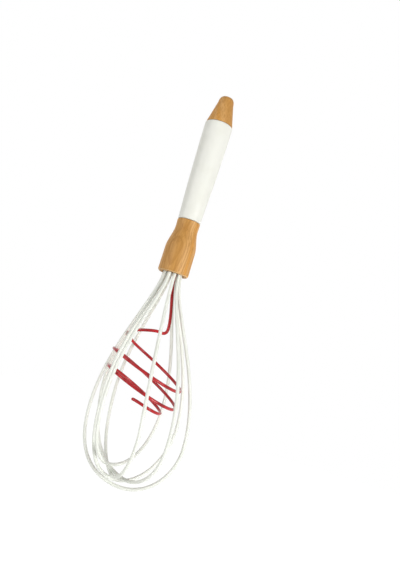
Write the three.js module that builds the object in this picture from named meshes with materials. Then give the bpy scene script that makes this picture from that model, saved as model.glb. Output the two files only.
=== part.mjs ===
// A balloon whisk: turned wooden handle with a white sleeve, five silicone-skinned loops
// and a red silicone-skinned spiral inside them. Lengths are millimetres, angles are degrees.
// The handle's axis is Z, the loops hang below it, and the origin is the centre of the flat butt.
import * as THREE from 'three';

// Fits
const FIT_GAP = 0.35;

// Handle
const COLLAR_LENGTH = 41.4;
const COLLAR_WALL = 3.9;
const RIM_WALL = 2.85;
const RIM_ROUND = 1.6;
const SHOULDER_HEIGHT = 18.5;
const WAIST_RADIUS = 8.55;
const WAIST_DROP = 5.4;
const NECK_RADIUS = 8.72;
const SLEEVE_LENGTH = 78.6;
const SLEEVE_LOW_RADIUS = 8.65;
const SLEEVE_TOP_RADIUS = 10.8;
const SLEEVE_SWELL = 0.32;
const SLEEVE_CHAMFER = 0.5;
const TENON_LENGTH = 8;
const TENON_WALL = 1.6;
const KNOB_LENGTH = 23;
const KNOB_RADIUS = 10.4;
const KNOB_END_RADIUS = 6.1;
const KNOB_END_ROUND = 4.9;
const BUTT_RADIUS = 3.5;

// Fastening inside the handle
const ROD_RADIUS = 2.5;
const ROD_TAIL = 1;
const NUT_ACROSS_CORNERS = 9.2;
const NUT_HEIGHT = 4;
const WASHER_RADIUS = 5.2;
const WASHER_THICKNESS = 1.2;
const INSERT_WALL = 1;
const INSERT_LENGTH = 12;
const INSERT_DEPTH = 4;

// Wires, their disc and their potting
const WIRE_DIAMETER = 2.5;
const STRAND_DIAMETER = 2.3;
const CORE_DIAMETER = 1;
const LEG_GAP = 1.36;
const HOLDER_MARGIN = 0.9;
const HOLDER_RECESS = 1.5;
const HOLDER_THICKNESS = 5;
const HOLDER_LEDGE = 0.8;
const POTTING_LENGTH = 15;
const CORE_COVER = 1;

// Balloon: depth of the outermost loop below the mouth, and the turn of the first pair of legs
const BALLOON_DEPTH = 154.2;
const BALLOON_TURN = -5;
const NEST_GAP = 0.5;

// Each loop, in order round the mouth: its place in the nest (0 is outermost), the tilt of its
// bottom, and for its near and far legs the widest radius and the depth of that, as shares of
// the balloon's depth, with the swing aside of that point and the slant of the leg there
const LOOPS = [
  {
    nest: 0, tilt: 11.8,
    near: { bulge: 0.222, drop: 0.687, swing: -24.6, slant: -0.2 },
    far: { bulge: 0.288, drop: 0.765, swing: -1.5, slant: -0.7 },
  },
  {
    nest: 1, tilt: 15.6,
    near: { bulge: 0.207, drop: 0.604, swing: 18.3, slant: 1.3 },
    far: { bulge: 0.305, drop: 0.711, swing: 4.9, slant: -0.6 },
  },
  {
    nest: 4, tilt: 1.8,
    near: { bulge: 0.253, drop: 0.634, swing: -5.6, slant: 1.9 },
    far: { bulge: 0.283, drop: 0.645, swing: -9.7, slant: 0.1 },
  },
  {
    nest: 2, tilt: -8.9,
    near: { bulge: 0.234, drop: 0.706, swing: 3.5, slant: 6.5 },
    far: { bulge: 0.280, drop: 0.622, swing: 8.9, slant: -2.6 },
  },
  {
    nest: 3, tilt: -16.5,
    near: { bulge: 0.313, drop: 0.782, swing: -10.6, slant: -5.4 },
    far: { bulge: 0.220, drop: 0.636, swing: -2.1, slant: -10.2 },
  },
];

// Fullness of a leg: how far each end of a stretch keeps its direction, as a share of the stretch
const EXIT_FULLNESS = 0.2;
const UPPER_FULLNESS = 0.42;
const LOWER_FULLNESS = 0.55;
const BOTTOM_FULLNESS = 0.65;

// Red spiral: a tilted coil round a line beside the axis, opened out until it clears the legs
const COIL_CLEARANCE = 0.4;
const COIL_OFFSET_X = 3;
const COIL_OFFSET_Y = -0.5;
const COIL_DEPTH = 56;
const COIL_PITCH = 12.7;
const COIL_TILT = 22;
const COIL_NOD = 4.5;
const COIL_START_RADIUS = 9.5;
const COIL_END_RADIUS = 7;
const COIL_RISE = 16;
const COIL_END_LIFT = 3;
const COIL_START_ANGLE = 85;
const COIL_SWEEP = 1115;
const COIL_GROW_SWEEP = 185;
const COIL_LEAD_SWEEP = 165;
const COIL_TAIL_SWEEP = 240;
const STEM_OFFSET = 1.8;
const STEM_BEND_RADIUS = 5;
const STEM_FULLNESS = 0.25;

// Facets
const TURNED_SEGMENTS = 28;
const SKIN_SIDES = 8;
const CORE_SIDES = 6;
const HOLE_SEGMENTS = 6;
const UPPER_STEPS = 10;
const LOWER_STEPS = 8;
const HELD_STEPS = 1;
const STEM_STEPS = 6;
const BEND_STEPS = 3;
const COIL_STEPS = 78;
const CURVE_POINTS = 6;
const COIL_FIT_ROUNDS = 24;
const COIL_FIT_SAMPLES = 240;
const LEG_FIT_SAMPLES = 60;

// Derived sizes
const wireRadius = WIRE_DIAMETER / 2;
const strandRadius = STRAND_DIAMETER / 2;
const coreRadius = CORE_DIAMETER / 2;
const boreRadius = coreRadius + FIT_GAP;
const legCount = 2 * LOOPS.length;
const legRingRadius = (WIRE_DIAMETER + LEG_GAP) / (2 * Math.sin(Math.PI / legCount));
const holderRadius = legRingRadius + wireRadius + HOLDER_MARGIN;
const seatRadius = holderRadius + FIT_GAP;
const mouthRadius = seatRadius + RIM_WALL;
const cavityRadius = holderRadius - HOLDER_LEDGE;
const shoulderRadius = cavityRadius + COLLAR_WALL;
const rodBoreRadius = ROD_RADIUS + FIT_GAP;
const insertRadius = rodBoreRadius + INSERT_WALL;
const insertHoleRadius = insertRadius + FIT_GAP;
const tenonRadius = insertHoleRadius + TENON_WALL;
const sleeveBoreRadius = tenonRadius + FIT_GAP;
const nestPitch = WIRE_DIAMETER + NEST_GAP;

// Heights above the mouth of the collar
const holderTop = HOLDER_RECESS + HOLDER_THICKNESS;
const pottingBase = holderTop + FIT_GAP;
const pottingTop = pottingBase + POTTING_LENGTH;
const rodBase = pottingTop + FIT_GAP;
const nutBase = rodBase + ROD_TAIL;
const washerBase = nutBase + NUT_HEIGHT + FIT_GAP;
const washerTop = washerBase + WASHER_THICKNESS;
const cavityRoof = washerTop + FIT_GAP;
const waistHeight = COLLAR_LENGTH - WAIST_DROP;
const sleeveBase = COLLAR_LENGTH + FIT_GAP;
const sleeveTop = sleeveBase + SLEEVE_LENGTH;
const knobBase = sleeveTop + FIT_GAP;
const knobTop = knobBase + KNOB_LENGTH;
const insertHoleBase = knobBase - TENON_LENGTH;
const insertBase = insertHoleBase + INSERT_DEPTH;
const insertTop = insertBase + INSERT_LENGTH;
const insertHoleTop = insertTop + FIT_GAP;
const rodTop = insertTop - ROD_TAIL;
const coreTop = pottingTop - CORE_COVER;

const WOOD = { color: 0xcd9655, roughness: 0.6, metalness: 0 };
const WHITE_SLEEVE = { color: 0xebece8, roughness: 0.45, metalness: 0 };
const IVORY_SILICONE = { color: 0xf5f5eb, roughness: 0.55, metalness: 0 };
const RED_SILICONE = { color: 0xbe282d, roughness: 0.5, metalness: 0 };
const STEEL = { color: 0xb9bcc0, roughness: 0.3, metalness: 1 };
const BRASS = { color: 0xc9a34a, roughness: 0.35, metalness: 1 };
const DARK_NYLON = { color: 0x3a332c, roughness: 0.6, metalness: 0 };
const RESIN = { color: 0xd8c9a0, roughness: 0.4, metalness: 0 };

const radians = THREE.MathUtils.degToRad;
const down = new THREE.Vector3(0, 0, -1);

const whisk = new THREE.Group();
whisk.position.z = -knobTop;

function addPiece(name, geometry, finish) {
  const mesh = new THREE.Mesh(geometry, new THREE.MeshStandardMaterial(finish));
  mesh.name = name;
  whisk.add(mesh);
}

// A profile of [radius, height] pairs, outside upwards, turned round the Z axis
function turned(profile) {
  const points = profile.map(([radius, height]) => new THREE.Vector2(radius, height));
  return new THREE.LatheGeometry(points, TURNED_SEGMENTS).rotateX(Math.PI / 2);
}

function closed(profile) {
  return [...profile, profile[0]];
}

// Points of a run between two profile points, without the first one: the height rises evenly
// and the radius is given for each share of the way
function risingRun(fromHeight, toHeight, radiusAt) {
  const run = [];
  for (let i = 1; i <= CURVE_POINTS; i += 1) {
    const t = i / CURVE_POINTS;
    run.push([radiusAt(t), THREE.MathUtils.lerp(fromHeight, toHeight, t)]);
  }
  return run;
}

// A run that eases out of one radius and into the next
function sweptRun([fromRadius, fromHeight], [toRadius, toHeight]) {
  const radiusAt = (t) => THREE.MathUtils.lerp(fromRadius, toRadius, THREE.MathUtils.smoothstep(t, 0, 1));
  return risingRun(fromHeight, toHeight, radiusAt);
}

// A straight taper that swells in its middle
function swollenRun([fromRadius, fromHeight], [toRadius, toHeight], swell) {
  const radiusAt = (t) => THREE.MathUtils.lerp(fromRadius, toRadius, t) + 4 * swell * t * (1 - t);
  return risingRun(fromHeight, toHeight, radiusAt);
}

// Points of a quarter of an ellipse about a centre, from one angle to the next
function roundRun([centreRadius, centreHeight], across, along, fromAngle, toAngle) {
  const run = [];
  for (let i = 0; i <= CURVE_POINTS; i += 1) {
    const angle = radians(THREE.MathUtils.lerp(fromAngle, toAngle, i / CURVE_POINTS));
    run.push([centreRadius + across * Math.cos(angle), centreHeight + along * Math.sin(angle)]);
  }
  return run;
}

function collarGeometry() {
  const rimRound = Math.min(RIM_ROUND, RIM_WALL);
  return turned(closed([
    ...roundRun([mouthRadius - rimRound, rimRound], rimRound, rimRound, -90, 0),
    [shoulderRadius, SHOULDER_HEIGHT],
    ...sweptRun([shoulderRadius, SHOULDER_HEIGHT], [WAIST_RADIUS, waistHeight]),
    ...sweptRun([WAIST_RADIUS, waistHeight], [NECK_RADIUS, COLLAR_LENGTH]),
    [tenonRadius, COLLAR_LENGTH],
    [tenonRadius, COLLAR_LENGTH + TENON_LENGTH],
    [rodBoreRadius, COLLAR_LENGTH + TENON_LENGTH],
    [rodBoreRadius, cavityRoof],
    [cavityRadius, cavityRoof],
    [cavityRadius, holderTop + FIT_GAP],
    [seatRadius, holderTop + FIT_GAP],
    [seatRadius, 0],
  ]));
}

function sleeveGeometry() {
  const low = [SLEEVE_LOW_RADIUS, sleeveBase + SLEEVE_CHAMFER];
  const high = [SLEEVE_TOP_RADIUS, sleeveTop - SLEEVE_CHAMFER];
  return turned(closed([
    [sleeveBoreRadius, sleeveBase],
    [SLEEVE_LOW_RADIUS - SLEEVE_CHAMFER, sleeveBase],
    low,
    ...swollenRun(low, high, SLEEVE_SWELL),
    [SLEEVE_TOP_RADIUS - SLEEVE_CHAMFER, sleeveTop],
    [sleeveBoreRadius, sleeveTop],
  ]));
}

function knobGeometry() {
  const endBase = knobTop - KNOB_END_ROUND;
  return turned([
    [0, insertHoleTop],
    [insertHoleRadius, insertHoleTop],
    [insertHoleRadius, insertHoleBase],
    [tenonRadius, insertHoleBase],
    [tenonRadius, knobBase],
    [KNOB_RADIUS, knobBase],
    ...roundRun([BUTT_RADIUS, endBase], KNOB_END_RADIUS - BUTT_RADIUS, KNOB_END_ROUND, 0, 90),
    [0, knobTop],
  ]);
}

// A tube between two radii and two heights
function ringGeometry(innerRadius, outerRadius, base, top) {
  return turned(closed([
    [innerRadius, base],
    [outerRadius, base],
    [outerRadius, top],
    [innerRadius, top],
  ]));
}

function rodGeometry() {
  return turned([
    [0, rodBase],
    [ROD_RADIUS, rodBase],
    [ROD_RADIUS, rodTop],
    [0, rodTop],
  ]);
}

function polygon(sides, radius) {
  const points = [];
  for (let i = 0; i < sides; i += 1) {
    const angle = (2 * Math.PI * i) / sides;
    points.push(new THREE.Vector2(radius * Math.cos(angle), radius * Math.sin(angle)));
  }
  return points;
}

function plateGeometry(shape, base, thickness) {
  const settings = { depth: thickness, bevelEnabled: false, curveSegments: HOLE_SEGMENTS };
  return new THREE.ExtrudeGeometry(shape, settings).translate(0, 0, base);
}

function nutGeometry() {
  const shape = new THREE.Shape(polygon(6, NUT_ACROSS_CORNERS / 2));
  shape.holes.push(new THREE.Path().absarc(0, 0, rodBoreRadius, 0, 2 * Math.PI));
  return plateGeometry(shape, nutBase, NUT_HEIGHT);
}

// A disc with one hole for every leg and one near the middle for the spiral
function drilledDisc(radius, legHole, stemHole, base, thickness) {
  const shape = new THREE.Shape(polygon(TURNED_SEGMENTS, radius));
  shape.holes.push(new THREE.Path().absarc(STEM_OFFSET, 0, stemHole, 0, 2 * Math.PI));
  for (let leg = 0; leg < legCount; leg += 1) {
    const exit = legExit(leg);
    shape.holes.push(new THREE.Path().absarc(exit.x, exit.y, legHole, 0, 2 * Math.PI));
  }
  return plateGeometry(shape, base, thickness);
}

// Azimuth of a leg where it leaves the mouth: far legs come first, and near legs face them
function legAzimuth(leg) {
  return radians(BALLOON_TURN) + (2 * Math.PI * leg) / legCount;
}

function polar(radius, azimuth, height) {
  return new THREE.Vector3(radius * Math.cos(azimuth), radius * Math.sin(azimuth), height);
}

function legExit(leg) {
  return polar(legRingRadius, legAzimuth(leg), 0);
}

// Curves joined end to end, each taking its own number of equal steps
class JoinedPath extends THREE.Curve {
  constructor(stretches) {
    super();
    this.stretches = stretches;
    this.steps = stretches.reduce((sum, stretch) => sum + stretch.steps, 0);
  }

  getUtoTmapping(u) {
    return u;
  }

  getPoint(t, target = new THREE.Vector3()) {
    let step = t * this.steps;
    let index = 0;
    while (index < this.stretches.length - 1 && step > this.stretches[index].steps) {
      step -= this.stretches[index].steps;
      index += 1;
    }
    const stretch = this.stretches[index];
    return stretch.curve.getPoint(step / stretch.steps, target);
  }
}

// A Bezier stretch that leaves one point along a direction and arrives at the next along another
function bowed(from, leaving, to, arriving) {
  return new THREE.CubicBezierCurve3(from, from.clone().add(leaving), to.clone().sub(arriving), to);
}

// The two stretches of a leg, from the mouth to its widest point and on to the pole
function legStretches(leg, size, pole, outward) {
  const exit = legExit(leg);
  const bulge = size.bulge * BALLOON_DEPTH;
  const drop = size.drop * BALLOON_DEPTH;
  const azimuth = legAzimuth(leg) + radians(size.swing);
  const slant = radians(size.slant);
  const widest = polar(bulge, azimuth, -drop);
  const heading = polar(Math.sin(slant), azimuth + Math.PI / 2, -Math.cos(slant));
  const below = -pole.z - drop;
  const upper = bowed(
    exit,
    down.clone().multiplyScalar(EXIT_FULLNESS * drop),
    widest,
    heading.clone().multiplyScalar(UPPER_FULLNESS * drop),
  );
  const lower = bowed(
    widest,
    heading.clone().multiplyScalar(LOWER_FULLNESS * below),
    pole,
    outward.clone().multiplyScalar(-BOTTOM_FULLNESS * bulge),
  );
  return { upper, lower };
}

function reversed({ v0, v1, v2, v3 }) {
  return new THREE.CubicBezierCurve3(v3, v2, v1, v0);
}

// A loop's two legs, which meet at the pole on the axis with a shared slope
function loopLegs(index) {
  const loop = LOOPS[index];
  const farLeg = index;
  const nearLeg = index + LOOPS.length;
  const pole = new THREE.Vector3(0, 0, -BALLOON_DEPTH + nestPitch * loop.nest);
  const plane = legAzimuth(farLeg) + radians((loop.near.swing + loop.far.swing) / 2);
  const tilt = radians(loop.tilt);
  const outward = polar(Math.cos(tilt), plane, -Math.sin(tilt));
  return {
    near: legStretches(nearLeg, loop.near, pole, outward.clone().negate()),
    far: legStretches(farLeg, loop.far, pole, outward),
  };
}

// A loop from its near end to its far end, held straight from the mouth up to a height
function loopPath(index, heldTop) {
  const { near, far } = loopLegs(index);
  const rise = new THREE.Vector3(0, 0, heldTop);
  const nearExit = near.upper.v0;
  const farExit = far.upper.v0;
  return new JoinedPath([
    { curve: new THREE.LineCurve3(nearExit.clone().add(rise), nearExit), steps: HELD_STEPS },
    { curve: near.upper, steps: UPPER_STEPS },
    { curve: near.lower, steps: LOWER_STEPS },
    { curve: reversed(far.lower), steps: LOWER_STEPS },
    { curve: reversed(far.upper), steps: UPPER_STEPS },
    { curve: new THREE.LineCurve3(farExit, farExit.clone().add(rise)), steps: HELD_STEPS },
  ]);
}

// The red coil: it sinks by the pitch, leans by the tilt, opens from its lead and curls in at its tail
class CoilCurve extends THREE.Curve {
  constructor(radius) {
    super();
    this.radius = radius;
  }

  getPoint(t, target = new THREE.Vector3()) {
    const swept = t * COIL_SWEEP;
    const angle = COIL_START_ANGLE + swept;
    const opened = THREE.MathUtils.smoothstep(swept, 0, COIL_GROW_SWEEP);
    const closing = THREE.MathUtils.smoothstep(swept, COIL_SWEEP - COIL_TAIL_SWEEP, COIL_SWEEP);
    const open = THREE.MathUtils.lerp(COIL_START_RADIUS, this.radius, opened);
    const radius = open - closing * (this.radius - COIL_END_RADIUS);
    const x = radius * Math.cos(radians(angle));
    const y = -radius * Math.sin(radians(angle));
    const lead = COIL_RISE * (1 - THREE.MathUtils.smoothstep(swept, 0, COIL_LEAD_SWEEP));
    const raised = lead + COIL_END_LIFT * closing;
    const sunk = COIL_DEPTH + (COIL_PITCH * angle) / 360;
    const lean = Math.tan(radians(COIL_TILT)) * x - Math.tan(radians(COIL_NOD)) * y;
    return target.set(COIL_OFFSET_X + x, COIL_OFFSET_Y + y, raised - sunk - lean);
  }
}

function legSamples() {
  const samples = [];
  for (let index = 0; index < LOOPS.length; index += 1) {
    const { near, far } = loopLegs(index);
    for (const curve of [near.upper, near.lower, far.upper, far.lower]) {
      samples.push(...curve.getPoints(LEG_FIT_SAMPLES));
    }
  }
  return samples;
}

// Whether a coil of this radius keeps its clearance to every leg
function coilClears(radius, samples) {
  const needed = wireRadius + strandRadius + COIL_CLEARANCE;
  const coil = new CoilCurve(radius).getPoints(COIL_FIT_SAMPLES);
  return coil.every((point) => samples.every((sample) => point.distanceTo(sample) >= needed));
}

// The largest coil that fits inside the legs, found by halving below the narrowest leg's reach
function fittedCoilRadius() {
  const samples = legSamples();
  const bulges = LOOPS.flatMap((loop) => [loop.near.bulge, loop.far.bulge]);
  let fits = 0;
  let fouls = Math.min(...bulges) * BALLOON_DEPTH;
  for (let round = 0; round < COIL_FIT_ROUNDS; round += 1) {
    const middle = (fits + fouls) / 2;
    if (coilClears(middle, samples)) {
      fits = middle;
    } else {
      fouls = middle;
    }
  }
  return fits;
}

// The spiral's stem comes down from its hole, leans to the coil's start and bends into it
function spiralPath(heldTop) {
  const coil = new CoilCurve(fittedCoilRadius());
  const start = coil.getPoint(0);
  const along = coil.getTangent(0);
  const corner = start.clone().addScaledVector(along, -STEM_BEND_RADIUS);
  const foot = corner.clone().addScaledVector(down, -STEM_BEND_RADIUS);
  const mouth = new THREE.Vector3(STEM_OFFSET, 0, 0);
  const reach = STEM_FULLNESS * foot.distanceTo(mouth);
  const stem = bowed(mouth, down.clone().multiplyScalar(reach), foot, down.clone().multiplyScalar(reach));
  const bend = new THREE.QuadraticBezierCurve3(foot, corner, start);
  return new JoinedPath([
    { curve: new THREE.LineCurve3(new THREE.Vector3(STEM_OFFSET, 0, heldTop), mouth), steps: HELD_STEPS },
    { curve: stem, steps: STEM_STEPS },
    { curve: bend, steps: BEND_STEPS },
    { curve: coil, steps: COIL_STEPS },
  ]);
}

function extruded(shape, path) {
  return new THREE.ExtrudeGeometry(shape, { extrudePath: path, steps: path.steps, bevelEnabled: false });
}

// A silicone skin, open at its ends for the wire inside it
function skinGeometry(path, radius) {
  const shape = new THREE.Shape(polygon(SKIN_SIDES, radius));
  shape.holes.push(new THREE.Path(polygon(CORE_SIDES, boreRadius)));
  return extruded(shape, path);
}

function coreGeometry(path) {
  return extruded(new THREE.Shape(polygon(CORE_SIDES, coreRadius)), path);
}

// Handle
addPiece('wooden_collar', collarGeometry(), WOOD);
addPiece('grip_sleeve', sleeveGeometry(), WHITE_SLEEVE);
addPiece('end_knob', knobGeometry(), WOOD);

// Fastening
addPiece('tie_rod', rodGeometry(), STEEL);
addPiece('rod_nut', nutGeometry(), STEEL);
addPiece('rod_washer', ringGeometry(rodBoreRadius, WASHER_RADIUS, washerBase, washerTop), STEEL);
addPiece('knob_insert', ringGeometry(rodBoreRadius, insertRadius, insertBase, insertTop), BRASS);

// Wire holder and potting
const skinHole = wireRadius + FIT_GAP;
const strandHole = strandRadius + FIT_GAP;
const pottingRadius = cavityRadius - FIT_GAP;
addPiece(
  'wire_holder',
  drilledDisc(holderRadius, skinHole, strandHole, HOLDER_RECESS, HOLDER_THICKNESS),
  DARK_NYLON,
);
addPiece(
  'potting_plug',
  drilledDisc(pottingRadius, boreRadius, boreRadius, pottingBase, POTTING_LENGTH),
  RESIN,
);

// Loops and spiral
for (let index = 0; index < LOOPS.length; index += 1) {
  const number = index + 1;
  addPiece(`loop_${number}_jacket`, skinGeometry(loopPath(index, holderTop), wireRadius), IVORY_SILICONE);
  addPiece(`loop_${number}_core`, coreGeometry(loopPath(index, coreTop)), STEEL);
}
addPiece('spiral_jacket', skinGeometry(spiralPath(holderTop), strandRadius), RED_SILICONE);
addPiece('spiral_core', coreGeometry(spiralPath(coreTop)), STEEL);

export default whisk;
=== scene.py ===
"""A balloon whisk: wooden handle, white sleeve, ivory silicone loops and a red spiral."""
import logging
import math
from abc import ABC, abstractmethod
from dataclasses import dataclass
from enum import Enum
from typing import Any, Callable, Mapping, Sequence

import bmesh
import bpy
from mathutils import Matrix, Vector


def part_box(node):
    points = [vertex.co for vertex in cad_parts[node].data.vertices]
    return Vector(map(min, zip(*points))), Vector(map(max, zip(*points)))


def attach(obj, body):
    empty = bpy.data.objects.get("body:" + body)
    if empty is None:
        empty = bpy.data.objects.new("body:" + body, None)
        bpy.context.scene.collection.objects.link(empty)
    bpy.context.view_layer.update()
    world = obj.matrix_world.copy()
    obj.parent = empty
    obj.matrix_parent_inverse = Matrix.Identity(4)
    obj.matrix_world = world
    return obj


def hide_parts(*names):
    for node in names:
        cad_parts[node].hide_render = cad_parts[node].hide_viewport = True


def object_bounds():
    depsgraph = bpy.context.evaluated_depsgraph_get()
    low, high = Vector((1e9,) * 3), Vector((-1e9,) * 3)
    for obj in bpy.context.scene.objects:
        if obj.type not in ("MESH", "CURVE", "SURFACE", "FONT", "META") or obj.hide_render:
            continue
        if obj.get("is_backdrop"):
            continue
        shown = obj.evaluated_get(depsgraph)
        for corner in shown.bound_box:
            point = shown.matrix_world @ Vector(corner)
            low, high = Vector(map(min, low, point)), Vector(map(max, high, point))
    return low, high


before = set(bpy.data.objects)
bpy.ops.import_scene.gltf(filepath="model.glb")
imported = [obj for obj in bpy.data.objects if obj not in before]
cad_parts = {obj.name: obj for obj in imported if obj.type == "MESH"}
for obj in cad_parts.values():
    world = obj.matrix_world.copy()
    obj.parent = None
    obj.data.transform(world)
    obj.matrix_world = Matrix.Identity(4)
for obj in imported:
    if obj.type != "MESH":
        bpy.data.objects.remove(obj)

LOG = logging.getLogger("whisk")
MM = 0.001
BODY = "root"
DOWN = Vector((0.0, 0.0, -1.0))

# A point of a profile is a radius and a height. A span is where a mask starts and where it is full.
Colour = tuple[float, float, float, float]
Place = tuple[float, float, float]
Point = tuple[float, float]
Span = tuple[float, float]
Profile = list[Point]

WHITE: Colour = (1.0, 1.0, 1.0, 1.0)
NOISE_MEAN = 0.5
# A Mix node's sockets for colours, by place: three inputs and the result.
MIX_FACTOR, MIX_LOW, MIX_HIGH, MIX_RESULT = 0, 6, 7, 2


def tint(red: int, green: int, blue: int) -> Colour:
    """Turn a screen colour of 0 to 255 into the linear colour that a shader takes.

    Args:
        red: Red as it looks on a screen.
        green: Green as it looks on a screen.
        blue: Blue as it looks on a screen.

    Returns:
        The linear colour, opaque.
    """
    def linear(channel: int) -> float:
        """Undo the screen curve of one channel."""
        share = channel / 255
        return share / 12.92 if share <= 0.04045 else ((share + 0.055) / 1.055) ** 2.4

    return linear(red), linear(green), linear(blue), 1.0


def eased(share: float) -> float:
    """Ease a share of 0 to 1 in and out, and hold it outside that."""
    held = min(max(share, 0.0), 1.0)
    return held * held * (3 - 2 * held)


def between(start: float, end: float, share: float) -> float:
    """Give the value that lies at a share of the way from start to end."""
    return start + (end - start) * share


def spoke(radius: float, azimuth: float, height: float) -> Vector:
    """Give the point at a radius and an azimuth about the handle's axis, at a height."""
    return Vector((radius * math.cos(azimuth), radius * math.sin(azimuth), height))


def wire_hold() -> tuple[Vector, float]:
    """Give the middle of the collar's mouth, and how far above it the wires are held."""
    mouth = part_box("wooden_collar")[0].z
    return Vector((0.0, 0.0, mouth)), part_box("wire_holder")[1].z - mouth


class Slot(Enum):
    """The record's material slots."""

    WOOD = "wood"
    WHITE_SLEEVE = "white_sleeve"
    IVORY_SILICONE = "ivory_silicone"
    RED_SILICONE = "red_silicone"
    STEEL = "steel"
    BRASS = "brass"
    DARK_NYLON = "dark_nylon"
    RESIN = "resin"


@dataclass(frozen=True)
class Grain:
    """A noise pattern: marks to a millimetre across the axis and along it, and finer layers."""

    across: float
    along: float
    layers: float = 2.0
    rough: float = 0.5


@dataclass(frozen=True)
class Relief:
    """How deep a bump pattern is, in millimetres, and how much of it shows."""

    depth: float
    strength: float


class Flow:
    """One value, colour, vector or shader on its way through a finish's nodes."""

    def __init__(self, recipe: "Recipe", socket: bpy.types.NodeSocket) -> None:
        """Hold the socket that the value comes out of."""
        self.recipe = recipe
        self.socket = socket

    def math(self, operation: str, *terms: Any) -> "Flow":
        """Add a Math node and give what comes out of it.

        Args:
            operation: The Math node's operation.
            terms: Its inputs in order, numbers or flows.

        Returns:
            The result as a flow.
        """
        return self.recipe.flow("ShaderNodeMath", {"operation": operation}, dict(enumerate(terms)))

    def __add__(self, other: Any) -> "Flow":
        """Add a value."""
        return self.math("ADD", self, other)

    __radd__ = __add__

    def __sub__(self, other: Any) -> "Flow":
        """Take a value away."""
        return self.math("SUBTRACT", self, other)

    def __rsub__(self, other: Any) -> "Flow":
        """Take this away from a value."""
        return self.math("SUBTRACT", other, self)

    def __mul__(self, other: Any) -> "Flow":
        """Multiply by a value."""
        return self.math("MULTIPLY", self, other)

    __rmul__ = __mul__

    def __truediv__(self, other: Any) -> "Flow":
        """Divide by a value."""
        return self.math("DIVIDE", self, other)

    def __pow__(self, other: Any) -> "Flow":
        """Raise to a power."""
        return self.math("POWER", self, other)

    def root(self) -> "Flow":
        """Give the square root."""
        return self.math("SQRT", self)

    def fraction(self) -> "Flow":
        """Give what is left over whole numbers."""
        return self.math("FRACT", self)

    def size(self) -> "Flow":
        """Give the value without its sign."""
        return self.math("ABSOLUTE", self)

    def wave(self, length: float) -> "Flow":
        """Give a wave of that length, from 1 at the start to 0 half a length on."""
        return self.math("COSINE", self * (math.tau / length)) * 0.5 + 0.5

    def rising(self, low: float, high: float) -> "Flow":
        """Ease from 0 at one value to 1 at another.

        Args:
            low: The value up to which the result is 0.
            high: The value from which the result is 1.

        Returns:
            The eased mask.
        """
        terms = {"Value": self, "From Min": low, "From Max": high}
        return self.recipe.flow("ShaderNodeMapRange", {"interpolation_type": "SMOOTHSTEP"}, terms)

    def choose(self, low: Any, high: Any) -> "Flow":
        """Mix two colours by this value.

        Args:
            low: The colour at 0.
            high: The colour at 1.

        Returns:
            The mixed colour.
        """
        terms = {MIX_FACTOR: self, MIX_LOW: low, MIX_HIGH: high}
        return self.recipe.flow("ShaderNodeMix", {"data_type": "RGBA"}, terms, output=MIX_RESULT)

    def parts(self) -> tuple["Flow", "Flow", "Flow"]:
        """Give a vector's X, Y and Z as values."""
        made = self.recipe.node("ShaderNodeSeparateXYZ", {}, {0: self})
        return tuple(Flow(self.recipe, socket) for socket in made.outputs[:3])


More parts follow.
